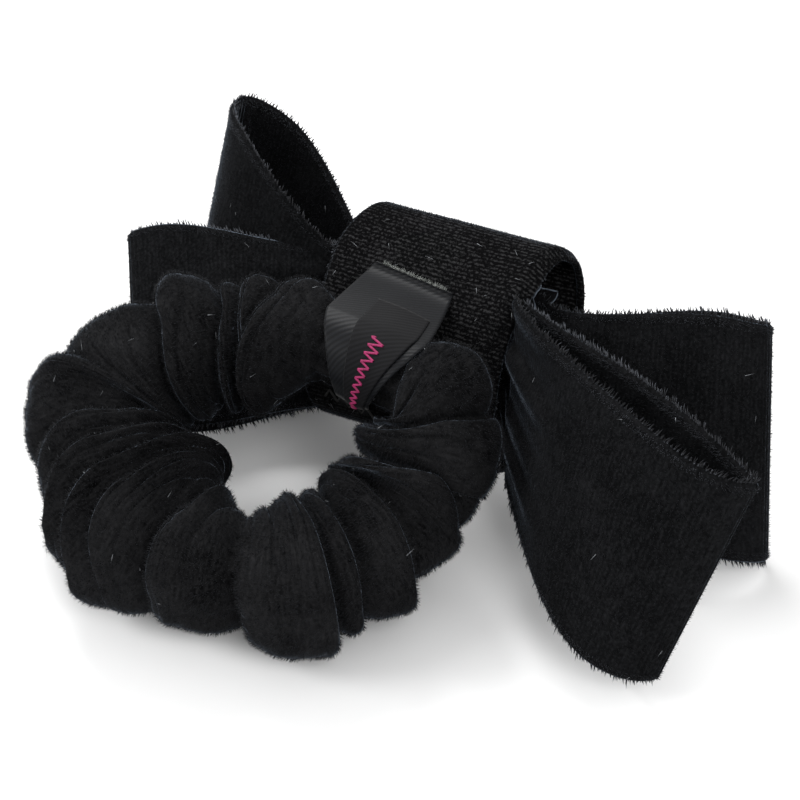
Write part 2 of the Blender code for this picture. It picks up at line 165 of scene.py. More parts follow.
def ring_line(angle):
    flat = np.stack([RING_HALF_WIDTH * np.cos(angle), RING_HALF_DEPTH * np.sin(angle),
                     RING_SLOPE * RING_HALF_DEPTH * np.sin(angle)], axis=-1)
    far_side = smooth((np.sin(angle + REST_TURN) + 0.2) / 0.9)
    lifted = RING_CENTRE + flat + OUT * (REST_LIFT * far_side)[..., None]
    direction = unit(-ACROSS * math.cos(NECK_TURN) + UP * math.sin(NECK_TURN) - OUT * NECK_DROP)
    place = BOW_CENTRE + NECK_PLACE @ BOW_AXES
    straight = place + direction * (neck_turn(angle) * RING_HALF_WIDTH)[..., None]
    weight = neck_weight(angle, NECK_BEND_SPREAD)[..., None]
    return lifted * (1.0 - weight) + straight * weight


def ring_frame(angle):
    """Tangent, outward and upward directions along the ring's middle line."""
    tangent = unit(ring_line(angle + 0.002) - ring_line(angle - 0.002))
    outward = np.stack([np.cos(angle), np.sin(angle), 0.0 * angle], axis=-1)
    outward = unit(outward - tangent * (outward * tangent).sum(-1, keepdims=True))
    return tangent, outward, np.cross(outward, tangent)


# ---------------------------------------------------------------- mesh helpers

def grid_quads(rows, columns, close_rows=False, close_columns=False):
    """Quads of a grid, with each corner's unwrapped row and column."""
    r, c = np.meshgrid(np.arange(rows if close_rows else rows - 1),
                       np.arange(columns if close_columns else columns - 1), indexing="ij")
    r = r.ravel()
    c = c.ravel()
    corner_rows = np.stack([r, r + 1, r + 1, r], axis=1)
    corner_columns = np.stack([c, c, c + 1, c + 1], axis=1)
    quads = (corner_rows % rows) * columns + corner_columns % columns
    return quads, corner_rows, corner_columns


def mesh_object(name, points, faces, material, uvs=None):
    """A named object from arrays of points and faces that all have the same number of corners."""
    mesh = bpy.data.meshes.new(name)
    mesh.vertices.add(len(points))
    mesh.vertices.foreach_set("co", np.asarray(points, np.float32).ravel())
    mesh.loops.add(faces.size)
    mesh.loops.foreach_set("vertex_index", faces.astype(np.int32).ravel())
    mesh.polygons.add(len(faces))
    mesh.polygons.foreach_set("loop_start", np.arange(0, faces.size, faces.shape[1], dtype=np.int32))
    mesh.update(calc_edges=True)
    if uvs is not None:
        layer = mesh.uv_layers.new(name="UVMap")
        layer.data.foreach_set("uv", np.asarray(uvs, np.float32).ravel())
    mesh.shade_smooth()
    mesh.materials.append(material)
    item = bpy.data.objects.new(name, mesh)
    bpy.context.scene.collection.objects.link(item)
    return item


def flip_if_inward(item):
    """Reverse the faces if the mesh's signed volume is negative."""
    mesh = item.data
    points = np.empty(len(mesh.vertices) * 3)
    mesh.vertices.foreach_get("co", points)
    points = points.reshape(-1, 3)
    mesh.calc_loop_triangles()
    triangles = np.empty(len(mesh.loop_triangles) * 3, np.int32)
    mesh.loop_triangles.foreach_get("vertices", triangles)
    a, b, c = (points[triangles.reshape(-1, 3)[:, k]] for k in range(3))
    if (a * np.cross(b, c)).sum() < 0.0:
        mesh.flip_normals()


def grid_normals(points, close_rows=False, close_columns=False):
    directions = []
    for axis, closed in enumerate((close_rows, close_columns)):
        if closed:
            directions.append(np.roll(points, -1, axis) - np.roll(points, 1, axis))
        else:
            directions.append(np.gradient(points, axis=axis))
    return unit(np.cross(*directions))


def shell_sections(points, thickness, closed=False):
    """Closed sections of a thin cloth with rounded edges, from a grid of its middle surface."""
    normal = grid_normals(points, close_rows=closed)
    half = thickness / 2.0
    first = points[:, :1] + unit(points[:, :1] - points[:, 1:2]) * half
    last = points[:, -1:] + unit(points[:, -1:] - points[:, -2:-1]) * half
    top = points + normal * half
    bottom = points - normal * half
    return np.concatenate([top, last, bottom[:, ::-1], first], axis=1), normal


def cloth_object(name, points, thickness, material, closed=False):
    """A thin closed cloth. Its UV map is in metres, along the rows and across the columns."""
    sections, normal = shell_sections(points, thickness, closed)
    rows, size = sections.shape[:2]
    quads, corner_rows, corner_columns = grid_quads(rows, size, close_rows=closed, close_columns=True)
    run = run_along(points[:, points.shape[1] // 2])
    run = np.append(run, run[-1] + (run[-1] - run[-2]))
    width = run_along(sections[rows // 2])
    width = np.append(width, width[-1] + thickness)
    uvs = np.stack([run[corner_rows], width[corner_columns]], axis=-1)
    if not closed:
        half = size // 2
        index = np.arange(half - 1)
        # A strip of quads between the two faces closes each end.
        cap = np.stack([index, index + 1, size - 2 - index, size - 1 - index], axis=1)
        quads = np.concatenate([quads, cap, cap[:, ::-1] + (rows - 1) * size])
        uvs = np.concatenate([uvs, np.zeros((2 * len(cap), 4, 2))])
    item = mesh_object(name, sections.reshape(-1, 3), quads, material, uvs)
    flip_if_inward(item)
    return item, normal


def spikes(name, roots, directions, lengths, radius, material):
    """Closed three-sided spikes, one for each fibre."""
    directions = unit(directions)
    helper = np.where(abs(directions[:, 2:3]) < 0.9, np.array([[0.0, 0.0, 1.0]]), np.array([[1.0, 0.0, 0.0]]))
    side = unit(np.cross(directions, helper))
    other = np.cross(directions, side)
    corners = []
    for turn in range(3):
        angle = 2.0 * math.pi * turn / 3.0
        corners.append(roots + (side * math.cos(angle) + other * math.sin(angle)) * radius)
    tips = roots + directions * lengths[:, None]
    points = np.stack([*corners, tips], axis=1).reshape(-1, 3)
    points[:, 2] = np.maximum(points[:, 2], FIBRE_CLEARANCE)
    base = 4 * np.arange(len(roots))[:, None]
    pattern = np.array([[0, 1, 3], [1, 2, 3], [2, 0, 3], [0, 2, 1]])
    faces = (base[:, :, None] + pattern[None]).reshape(-1, 3)
    return mesh_object(name, points, faces, material)


def quad_areas(points, close_rows=False, close_columns=False):
    """A grid's quads, their four corners and their areas."""
    quads, _, _ = grid_quads(*points.shape[:2], close_rows, close_columns)
    flat = points.reshape(-1, 3)
    corners = [flat[quads[:, k]] for k in range(4)]
    area = np.linalg.norm(np.cross(corners[2] - corners[0], corners[3] - corners[1]), axis=1) / 2.0
    return quads, corners, area


def scatter(points, normals, count, random, **closing):
    """Random places on a grid, even by area: position, normal and the direction along the rows."""
    quads, corners, area = quad_areas(points, **closing)
    flat_normals = normals.reshape(-1, 3)
    chosen = random.choice(len(quads), size=count, p=area / area.sum())
    u = random.random(count)[:, None]
    v = random.random(count)[:, None]
    weights = [(1 - u) * (1 - v), u * (1 - v), u * v, (1 - u) * v]
    place = sum(w * corner[chosen] for w, corner in zip(weights, corners))
    normal = unit(sum(w * flat_normals[quads[chosen, k]] for k, w in enumerate(weights)))
    along = unit(corners[1] - corners[0])[chosen]
    return place, normal, along


def pile(name, points, normals, density, length, lean, random, material, **closing):
    """Short pile standing on a cloth, one spike for each 1/density of its area."""
    count = int(quad_areas(points, **closing)[2].sum() * density)
    place, normal, along = scatter(points, normals, count, random, **closing)
    direction = normal + along * lean + random.normal(0.0, 0.22, (count, 3))
    lengths = length * random.uniform(0.6, 1.15, count)
    return spikes(name, place, direction, lengths, FIBRE_RADIUS, material)


def fringe(name, edge, outward, normal, pitch, length, random, material):
    """Tufts of fibres that stand along a cloth's edge, like a comb."""
    run = run_along(edge)
    tufts = max(int(run[-1] / pitch), 2)
    places = np.linspace(0.0, run[-1], tufts) + random.normal(0.0, 0.12 * pitch, tufts)
    tuft = np.repeat(places, 3) + random.normal(0.0, 0.12 * pitch, tufts * 3)

    def along(values):
        return np.stack([np.interp(tuft, run, values[:, k]) for k in range(3)], axis=1)

    ahead = unit(np.gradient(edge, axis=0))
    direction = along(outward) + random.normal(0.0, 0.14, (len(tuft), 3)) + 0.35 * along(ahead)
    direction += along(normal) * random.normal(0.0, 0.25, (len(tuft), 1))
    heights = np.repeat(random.uniform(0.5, 1.1, tufts), 3) * random.uniform(0.8, 1.1, len(tuft))
    return spikes(name, along(edge), direction, length * heights, TUFT_RADIUS, material)


def lint(name, points, normals, count, random, **closing):
    """A few stray pale fibres that lie on a cloth."""
    place, normal, along = scatter(points, normals, count, random, **closing)
    turn = random.uniform(0.0, 2.0 * math.pi, (count, 1))
    across = np.cross(normal, along)
    rise = random.uniform(0.05, 0.4, (count, 1))
    direction = along * np.cos(turn) + across * np.sin(turn) + normal * rise
    lengths = random.uniform(0.8, 2.4, count) * MM
    return spikes(name, place + normal * LINT_LIFT, direction, lengths, FIBRE_RADIUS, LINT_THREAD)


# ---------------------------------------------------------------- materials

def new_material(name):
    material = bpy.data.materials.new(name)
    material.use_nodes = True
    tree = material.node_tree
    return material, tree, tree.nodes["Principled BSDF"]


def set_inputs(node, **inputs):
    """Set a node's inputs by name, with an underscore for each space."""
    for name, value in inputs.items():
        node.inputs[name.replace("_", " ")].default_value = value
    return node


def add_node(tree, kind, **inputs):
    return set_inputs(tree.nodes.new(kind), **inputs)


def add_texture(tree, kind, coordinates, **inputs):
    """A noise or wave texture on the object's own coordinates or on its UV map."""
    node = add_node(tree, f"ShaderNodeTex{kind}", **inputs)
    where = tree.nodes.new("ShaderNodeTexCoord")
    tree.links.new(where.outputs[coordinates], node.inputs["Vector"])
    return node


# A wave texture of scale 1 repeats at these distances, straight and diagonal, in metres.
WAVE_PERIOD = 0.314
DIAGONAL_PERIOD = 0.222


def add_ramp(tree, value, dark, light, low=0.0, high=1.0):
    """A colour that goes from dark to light as the value goes from low to high."""
    ramp = tree.nodes.new("ShaderNodeValToRGB")
    for element, position, colour in zip(ramp.color_ramp.elements, (low, high), (dark, light)):
        element.position = position
        element.color = (*colour, 1.0)
    tree.links.new(value, ramp.inputs["Fac"])
    return ramp.outputs["Color"]


def add_blend(tree, first, second, share):
    node = tree.nodes.new("ShaderNodeMix")
    node.data_type = "FLOAT"
    node.inputs["Factor"].default_value = share
    tree.links.new(first, node.inputs[2])
    tree.links.new(second, node.inputs[3])
    return node.outputs[0]


def velvet(name, dark, light, rib_pitch=None, rows=0.3, nap=(1500.0, 260.0), grain=1500.0, sheen=0.1):
    """Cut pile: dark, matt, mottled and streaked where the pile lies differently, with a little edge sheen.

    nap gives the streaks' fineness along the cloth's U and V, per metre. rib_pitch adds broken rows
    across U, as strong as the share in rows.
    """
    material, tree, shader = new_material(name)
    links = tree.links
    fine = add_texture(tree, "Noise", "Object", Scale=grain, Detail=3.0, Roughness=0.65)
    broad = add_texture(tree, "Noise", "Object", Scale=75.0, Detail=2.0, Roughness=0.5)
    where = tree.nodes.new("ShaderNodeTexCoord")
    stretch = tree.nodes.new("ShaderNodeMapping")
    stretch.inputs["Scale"].default_value = (nap[0], nap[1], 1.0)
    links.new(where.outputs["UV"], stretch.inputs["Vector"])
    streak = add_node(tree, "ShaderNodeTexNoise", Scale=1.0, Detail=2.0, Roughness=0.6)
    links.new(stretch.outputs["Vector"], streak.inputs["Vector"])
    tone = add_blend(tree, fine.outputs["Fac"], streak.outputs["Fac"], 0.45)
    tone = add_blend(tree, tone, broad.outputs["Fac"], 0.30)
    bump = add_node(tree, "ShaderNodeBump", Strength=0.8, Distance=0.00022)
    links.new(add_blend(tree, fine.outputs["Fac"], streak.outputs["Fac"], 0.35), bump.inputs["Height"])
    normal = bump.outputs["Normal"]
    if rib_pitch:
        wave = add_texture(tree, "Wave", "UV", Scale=WAVE_PERIOD / rib_pitch, Distortion=2.2, Detail=3.0,
                           Detail_Scale=3.0)
        wave.bands_direction = "X"
        grains = add_node(tree, "ShaderNodeMapRange", From_Min=0.42, From_Max=0.60)
        links.new(fine.outputs["Fac"], grains.inputs["Value"])
        stipple = tree.nodes.new("ShaderNodeMath")
        stipple.operation = "MULTIPLY"
        links.new(wave.outputs["Fac"], stipple.inputs[0])
        links.new(grains.outputs["Result"], stipple.inputs[1])
        tone = add_blend(tree, tone, stipple.outputs["Value"], rows)
        ribs = add_node(tree, "ShaderNodeBump", Strength=rows, Distance=0.00018)
        links.new(stipple.outputs["Value"], ribs.inputs["Height"])
        links.new(normal, ribs.inputs["Normal"])
        normal = ribs.outputs["Normal"]
    links.new(normal, shader.inputs["Normal"])
    links.new(add_ramp(tree, tone, dark, light, 0.38, 0.66), shader.inputs["Base Color"])
    set_inputs(shader, Roughness=0.92, Specular_IOR_Level=0.02, Sheen_Weight=sheen, Sheen_Roughness=0.2,
               Sheen_Tint=(0.68, 0.81, 1.0, 1.0))
    return material


def fibre_material(name, colour, sheen):
    """Hairs a little darker and lighter than the colour."""
    material, tree, shader = new_material(name)
    noise = add_texture(tree, "Noise", "Object", Scale=700.0, Detail=1.0)
    dark = [c * 0.5 for c in colour]
    light = [c * 1.6 for c in colour]
    tree.links.new(add_ramp(tree, noise.outputs["Fac"], dark, light), shader.inputs["Base Color"])
    set_inputs(shader, Roughness=0.6, Specular_IOR_Level=0.08, Sheen_Weight=sheen, Sheen_Roughness=0.4,
               Sheen_Tint=(0.80, 0.87, 1.0, 1.0))
    return material


def satin(name, dark, light, pitch, roughness):
    """Fine twill: diagonal ridges with a soft gloss."""
    material, tree, shader = new_material(name)
    links = tree.links
    wave = add_texture(tree, "Wave", "UV", Scale=DIAGONAL_PERIOD / pitch, Distortion=0.5, Detail=1.0)
    wave.bands_direction = "DIAGONAL"
    noise = add_texture(tree, "Noise", "Object", Scale=260.0, Detail=3.0)
    tone = add_blend(tree, wave.outputs["Fac"], noise.outputs["Fac"], 0.35)
    links.new(add_ramp(tree, tone, dark, light), shader.inputs["Base Color"])
    set_inputs(shader, Roughness=roughness, Specular_IOR_Level=0.12, Sheen_Weight=0.04, Sheen_Roughness=0.4)
    bump = add_node(tree, "ShaderNodeBump", Strength=0.35, Distance=0.00008)
    links.new(wave.outputs["Fac"], bump.inputs["Height"])
    links.new(bump.outputs["Normal"], shader.inputs["Normal"])
    return material


def plain(name, dark, light, scale, roughness):
    """Matt thread or tape with a mottled colour."""
    material, tree, shader = new_material(name)
    noise = add_texture(tree, "Noise", "Object", Scale=scale, Detail=4.0)
    tree.links.new(add_ramp(tree, noise.outputs["Fac"], dark, light, 0.3, 0.7), shader.inputs["Base Color"])
    shader.inputs["Roughness"].default_value = roughness
    bump = add_node(tree, "ShaderNodeBump", Strength=0.4, Distance=0.0001)
    tree.links.new(noise.outputs["Fac"], bump.inputs["Height"])
    tree.links.new(bump.outputs["Normal"], shader.inputs["Normal"])
    return material


CASING_VELVET = velvet("casing_velvet", (0.0020, 0.0020, 0.0022), (0.0165, 0.0165, 0.0175), sheen=0.42)
RIBBON_VELVET = velvet("ribbon_velvet", (0.0030, 0.0031, 0.0034), (0.0118, 0.0121, 0.0132),
                       rib_pitch=1.0 * MM, rows=0.12, nap=(900.0, 300.0), sheen=0.36)
WRAP_VELVET = velvet("wrap_velvet", (0.0022, 0.0022, 0.0024), (0.0270, 0.0270, 0.0280),
                     rib_pitch=0.95 * MM, rows=0.30, nap=(1400.0, 500.0), sheen=0.22)
FIBRE = fibre_material("velvet_pile", (0.0075, 0.0075, 0.0082), sheen=0.05)
# Pile and fringe along the cloths' edges. Its colour is lighter than the other pile's, and that is painted
# sheen: it paints the bright band along the edges, on top of the real sheen from its sheen setting.
EDGE_FIBRE_PAINTED_SHEEN = fibre_material("velvet_edge_pile_painted_sheen", (0.011, 0.011, 0.012), sheen=0.2)
SATIN = satin("black_satin", (0.0014, 0.0015, 0.0019), (0.0072, 0.0080, 0.0100), 0.42 * MM, 0.46)
LABEL = satin("black_label_twill", (0.0012, 0.0012, 0.0015), (0.0060, 0.0060, 0.0074), 0.45 * MM, 0.7)
RAW_THREAD = plain("pale_raw_thread", (0.10, 0.11, 0.10), (0.42, 0.44, 0.42), 900.0, 0.8)
LINT_THREAD = plain("pale_lint", (0.16, 0.17, 0.18), (0.40, 0.42, 0.45), 900.0, 0.8)
PINK_THREAD = plain("pink_woven_thread", (0.16, 0.004, 0.045), (0.36, 0.012, 0.11), 1500.0, 0.7)
BLACK_THREAD = plain("black_thread", (0.010, 0.010, 0.010), (0.030, 0.030, 0.030), 1500.0, 0.75)
ELASTIC = plain("white_elastic", (0.55, 0.55, 0.53), (0.82, 0.82, 0.79), 1100.0, 0.85)

# ---------------------------------------------------------------- ring

# Creases between the casing's puffs. Each row gives the crease's angle round the ring, in degrees, at
# the outside, the top, the hole's edge and underneath, and then how deep the crease is, from 0 to 1.
CREASES = [
    (30, 31, 31, 31, 0.4),
    (9, 9, -1, 6, 0.7),
    (-26, -7, -10, -22, 1.0),
    (-48, -43, -36, -44, 0.9),
    (-62, -59, -55, -61, 0.6),
    (-70, -69, -72, -70, 1.0),
    (-93, -96, -98, -92, 0.6),
    (-119, -122, -114, -120, 1.0),
    (-129, -141, -148, -128, 0.6),
    (-138, -154, -166, -134, 0.6),
    (-153, -168, -184, -148, 1.0),
    (-177, -184, -200, -172, 1.0),
    (-208, -215, -223, -206, 1.0),
    (-246, -241, -232, -246, 0.9),
    (-263, -260, -251, -262, 0.9),
    (-271, -267, -260, -270, 0.6),
    (-280, -278, -276, -280, 0.9),
    (-299, -299, -299, -299, 0.6),
]
# Each puff's height at the outside, the top, the hole's edge and underneath, in millimetres, how far
# its rim leans along the ring, and where its rim stands between its two creases, from 0 to 1.
PUFFS = [
    (12.6, 13.0, 14.0, 11.6, 0.6, 0.60),
    (14.6, 14.6, 17.0, 13.0, 1.6, 0.45),
    (12.0, 16.4, 19.4, 11.4, 3.0, 0.22),
    (14.0, 17.4, 19.6, 12.4, 3.0, 0.30),
    (12.6, 17.2, 20.4, 12.2, 2.0, 0.50),
    (15.4, 17.8, 20.8, 13.4, 3.0, 0.24),
    (9.6, 16.6, 21.6, 10.6, -2.5, 0.75),
    (12.4, 19.2, 25.4, 12.2, -4.0, 0.84),
    (15.8, 19.4, 27.6, 12.8, -3.0, 0.80),
    (15.0, 17.6, 24.0, 12.8, -3.0, 0.80),
    (13.4, 15.4, 18.6, 12.6, -3.0, 0.72),
    (20.4, 15.6, 14.6, 15.4, -3.0, 0.66),
    (17.6, 14.4, 16.4, 14.4, 2.5, 0.30),
    (17.6, 15.0, 17.4, 14.4, 2.5, 0.30),
    (13.2, 12.2, 17.8, 13.6, 1.0, 0.45),
    (12.2, 12.0, 20.4, 13.2, 1.0, 0.40),
    (12.2, 12.2, 22.0, 13.2, 1.0, 0.45),
    (9.6, 9.0, 8.6, 9.4, 0.0, 0.50),
]
# How far the creases cut in from the puffs' crests, at the outside, the top, the hole's edge and underneath.
CREASE_CUT = (6.4, 5.8, 5.2, 3.0)
# How far a puff's surface falls from its rim to its other crease, where the next puff lies over it.
PUFF_FALL = 0.16
RIM_POWER = 2.6
FALL_POWER = 3.2
RING_STEPS = 960
SECTION_STEPS = 128
# About one step of the casing's grid, along the ring and round its section, for its UV map.
CASING_UV_STEP = (0.3 * MM, 0.8 * MM)
# The lining takes every third point of the casing, moved in by this share of the way to the ring's line.
LINING_EVERY = 3
LINING_SHARE = 0.12
SLACK = 0.55 * MM
FINE_SLACK = 0.22 * MM
CASING_CLEARANCE = 0.7 * MM
PINCH_HALF_RUN = math.radians(13.0)
PINCH_SPREAD = math.radians(15.0)


def around_section(values, phi):
    """Blend values given at the outside, top, hole's edge and underneath, all round the section."""
    keys = np.array([values[0], values[1], values[2], values[3], values[0]], float)
    share = (phi / (math.pi / 2.0)) % 4.0
    index = np.floor(share).astype(int) % 4
    part = smooth(share - np.floor(share))
    return keys[index] * (1.0 - part) + keys[index + 1] * part


def value_noise(u, v, seed, cells_u, cells_v):
    """Smooth periodic noise from -1 to 1 on a torus of cells."""
    table = np.random.default_rng(seed).uniform(-1.0, 1.0, (cells_u, cells_v))
    u = (u % 1.0) * cells_u
    v = (v % 1.0) * cells_v
    iu = np.floor(u).astype(int)
    iv = np.floor(v).astype(int)
    fu = smooth(u - iu)
    fv = smooth(v - iv)
    a = table[iu % cells_u, iv % cells_v]
    b = table[(iu + 1) % cells_u, iv % cells_v]
    c = table[iu % cells_u, (iv + 1) % cells_v]
    d = table[(iu + 1) % cells_u, (iv + 1) % cells_v]
    return (a * (1 - fu) + b * fu) * (1 - fv) + (c * (1 - fu) + d * fu) * fv


def casing_angles():
    """Angles round the ring from its first crease, in radians."""
    first = CREASES[0][0]
    return np.radians(np.linspace(first, first - 360.0, RING_STEPS, endpoint=False))


def casing_surface():
    """The casing's outer skin: puffs with a steep rim on one side, pleated towards the hole."""
    angle = casing_angles()
    phi = np.linspace(0.0, 2.0 * math.pi, SECTION_STEPS, endpoint=False)
    grid_angle, grid_phi = np.meshgrid(angle, phi, indexing="ij")
    degrees = np.degrees(grid_angle)
    crease_lines = [around_section(row[:4], grid_phi) for row in CREASES]
    crease_lines.append(crease_lines[0] - 360.0)
    depths = [row[4] for row in CREASES] + [CREASES[0][4]]
    cut = around_section(CREASE_CUT, grid_phi) * MM
    height = np.zeros(degrees.shape)
    pleats = np.zeros(degrees.shape)
    lean = np.zeros(degrees.shape)
    random = np.random.default_rng(SEED + 5)
    drift = value_noise(-degrees / 360.0, grid_phi / (2.0 * math.pi), 26, 40, 5) * 0.10
    for index, puff in enumerate(PUFFS):
        waves = random.integers(2, 5)
        phase = random.uniform(0.2, 0.8)
        for turn in (-360.0, 0.0, 360.0):
            first = crease_lines[index] + turn
            last = crease_lines[index + 1] + turn
            inside = (degrees <= first) & (degrees > last)
            share = np.clip((first - degrees) / np.maximum(first - last, 1e-6), 0.0, 1.0)
            crest = around_section(puff[:4], grid_phi) * MM
            rim = puff[5]
            before = np.clip((rim - share) / rim, 0.0, 1.0)
            after = np.clip((share - rim) / (1.0 - rim), 0.0, 1.0)
            depth = np.where(share < rim, depths[index], depths[index + 1])
            fall = crest * PUFF_FALL * after * (1.0 - 0.5 * (rim > 0.5))
            rise = crest * PUFF_FALL * before * (rim > 0.5)
            profile = (1.0 - before ** RIM_POWER) ** (1.0 / RIM_POWER)
            profile = profile * (1.0 - after ** FALL_POWER) ** 0.45
            height = np.where(inside, crest - fall - rise - cut * depth * (1.0 - profile), height)
            groove = (1.0 - np.abs(np.sin(math.pi * ((share + drift) * waves + phase)))) ** 4.0
            pleats = np.where(inside, groove * profile, pleats)
            lean = np.where(inside, puff[4] * MM * profile, lean)
    u = -degrees / 360.0
    v = grid_phi / (2.0 * math.pi)
    hole_side = smooth(0.5 - 0.5 * np.cos(grid_phi))
    gathers = value_noise(u, v * 0.0, 21, 96, 1) * 0.8
    gathers = gathers + value_noise(u + 0.03 * np.cos(grid_phi), v, 22, 150, 3) * 0.6
    height += gathers * (0.12 + 0.75 * hole_side ** 2) * MM
    height -= pleats * (0.25 + 1.15 * hole_side) * MM
    height += value_noise(u, v, 23, 46, 7) * SLACK
    height += value_noise(u + 0.02 * np.sin(2.0 * grid_phi), v, 24, 90, 12) * FINE_SLACK
    tangent, outward, upward = ring_frame(grid_angle)
    spoke = outward * np.cos(grid_phi)[..., None] + upward * np.sin(grid_phi)[..., None]
    # The pinch is short where the casing is free, and long where the casing lies on the bow.
    free = smooth((spoke @ OUT + 0.55) / 0.9)
    short_pinch = 1.0 - smooth((abs(neck_turn(grid_angle)) - PINCH_HALF_RUN) / PINCH_SPREAD)
    weight = short_pinch * free + neck_weight(grid_angle, NECK_SWELL_SPREAD) * (1.0 - free)
    neck = NECK_RADIUS + 0.55 * MM * np.sin(9.0 * grid_phi + 3.0 * np.sin(grid_angle * 4.0))
    neck += gathers * 0.25 * MM
    height = height * (1.0 - weight) + neck * weight
    outer_side = 0.12 + 0.88 * smooth(0.55 + 0.5 * np.cos(grid_phi - 0.9))
    points = ring_line(grid_angle) + spoke * height[..., None]
    points = points + tangent * (lean * outer_side * (1.0 - weight))[..., None]
    points[..., 2] = np.maximum(points[..., 2], CASING_CLEARANCE)
    return points


def ring_casing():
    points = casing_surface()
    normals = -grid_normals(points, close_rows=True, close_columns=True)
    centre = points.mean(axis=1, keepdims=True)
    if ((points - centre) * normals).sum() < 0.0:
        normals = -normals
    quads, rows, columns = grid_quads(RING_STEPS, SECTION_STEPS, True, True)
    # The lining is a coarser skin a little inside, which leaves room for the elastic.
    every = LINING_EVERY
    line = ring_line(casing_angles())
    inner = points[::every, ::every]
    inner = inner + (line[::every, None] - inner) * LINING_SHARE
    inner_quads, inner_rows, inner_columns = grid_quads(len(inner), inner.shape[1], True, True)
    all_points = np.concatenate([points.reshape(-1, 3), inner.reshape(-1, 3)])
    all_quads = np.concatenate([quads, inner_quads[:, ::-1] + points.shape[0] * points.shape[1]])
    uvs = np.concatenate([np.stack([rows, columns], -1), np.stack([inner_rows, inner_columns], -1) * every])
    uvs = uvs * CASING_UV_STEP
    casing = mesh_object("ring_casing", all_points, all_quads, CASING_VELVET, uvs)
    flip_if_inward(casing)
    random = np.random.default_rng(SEED)
    closing = {"close_rows": True, "close_columns": True}
    fuzz = pile("ring_casing_pile", points, normals, *CASING_PILE, random, FIBRE, **closing)
    flecks = lint("ring_casing_lint", points, normals, CASING_LINT, random, **closing)
    return casing, fuzz, flecks


# ---------------------------------------------------------------- wrap frame

def turn_matrix(angle, axis):
    return np.array(Matrix.Rotation(angle, 3, Vector(axis)))


WRAP_AXES = turn_matrix(WRAP_ROLL, OUT) @ turn_matrix(WRAP_TURN, UP)
WRAP_CENTRE = BOW_CENTRE + ACROSS * WRAP_SHIFT[0] + UP * WRAP_SHIFT[1]


def wrap_point(along, up, out):
    """Points in the wrap's frame, whose near face is skewed to the left."""
    along, up, out = np.broadcast_arrays(np.asarray(along, float), up, out)
    skewed = along - WRAP_SKEW * out / WRAP_HALF_DEPTH
    local = skewed[..., None] * ACROSS + up[..., None] * UP + out[..., None] * OUT
    return WRAP_CENTRE + local @ WRAP_AXES.T


def power_wave(value, squareness):
    return np.sign(value) * np.abs(value) ** (2.0 / squareness)


# ---------------------------------------------------------------- ribbon loops

LOOP_STEPS = 420
LOOP_COLUMNS = 61
RIBBON_THICKNESS = 1.2 * MM
# The ribbons stop this far short of the wrap's middle.
TUCK_END = 5.0 * MM
TUCK_STEPS = 40
GATHER_THICKNESS = 1.6 * MM


def loop_surface(loop):
    """Middle surface of one loop: near layer, fold, far layer, with both ends tucked into the wrap."""
    random = np.random.default_rng(loop["seed"])
    up, out = loop["root"]
    root = wrap_point(ROOT_REACH * loop["side"], up * MM, out * MM)
    fold = BOW_CENTRE + (np.array(loop["fold"]) * MM) @ BOW_AXES
    axis = unit(fold - root)
    length = np.linalg.norm(fold - root)
    angle = np.linspace(0.0, 2.0 * math.pi, LOOP_STEPS)
    reach = (1.0 - np.cos(angle)) / 2.0
    bulge = np.where(angle < math.pi, loop["bulge"][0], loop["bulge"][1]) * MM
    height = bulge * np.sin(angle) * np.sin(angle / 2.0) * 1.3 + LAYER_OFFSET * np.cos(angle / 2.0)
    root_dir = np.array(loop["root_dir"]) @ BOW_AXES
    fold_dir = np.array(loop["fold_dir"]) @ BOW_AXES
    width_dir = unit(root_dir + (fold_dir - root_dir) * reach[:, None])
    normal = np.cross(axis, width_dir)
    normal = unit(np.where((normal @ OUT)[:, None] < 0.0, -normal, normal))
    spread = smooth(reach / 0.85)
    width = loop["root_width"] * MM * (1.0 - spread) + RIBBON_WIDTH * spread
    share = np.linspace(-0.5, 0.5, LOOP_COLUMNS)
    centre = root + axis * (length * reach)[:, None] + normal * height[:, None]
    points = centre[:, None] + width_dir[:, None] * (width[:, None] * share)[..., None]
    # Pleats run out from the wrap, and die away towards the fold.
    pleat = np.zeros((LOOP_STEPS, LOOP_COLUMNS))
    for waves in (2.5, 4.0, 6.5):
        phase = random.uniform(0.0, 2.0 * math.pi)
        drift = random.uniform(-1.2, 1.2)
        pleat += np.sin(2.0 * math.pi * waves * share[None] + phase + drift * reach[:, None]) / waves
    fade = 1.0 - smooth((reach - 0.02) / 0.5)
    points = points + normal[:, None] * (pleat * fade[:, None] * 2.0 * MM)[..., None]
    # The cloth is a little slack along its free edges.
    slack = np.sin(angle * 1.5 + random.uniform(0.0, 6.0))[:, None] * (np.abs(share)[None] * 2.0) ** 3
    points = points + normal[:, None] * (slack * (reach * (1.0 - reach) * 4.0)[:, None] * 0.9 * MM)[..., None]
    # Ribs across the ribbon stand out where it bends.
    run = run_along(centre)
    bend = smooth((reach - 0.90) / 0.1)
    ribs = np.sin(2.0 * math.pi * run / (1.15 * MM)) * (0.005 + 0.07 * bend) * MM
    cloth_normal = grid_normals(points)
    points = points + cloth_normal * ribs[:, None, None]
    return tuck(points, loop, share), root, axis, length


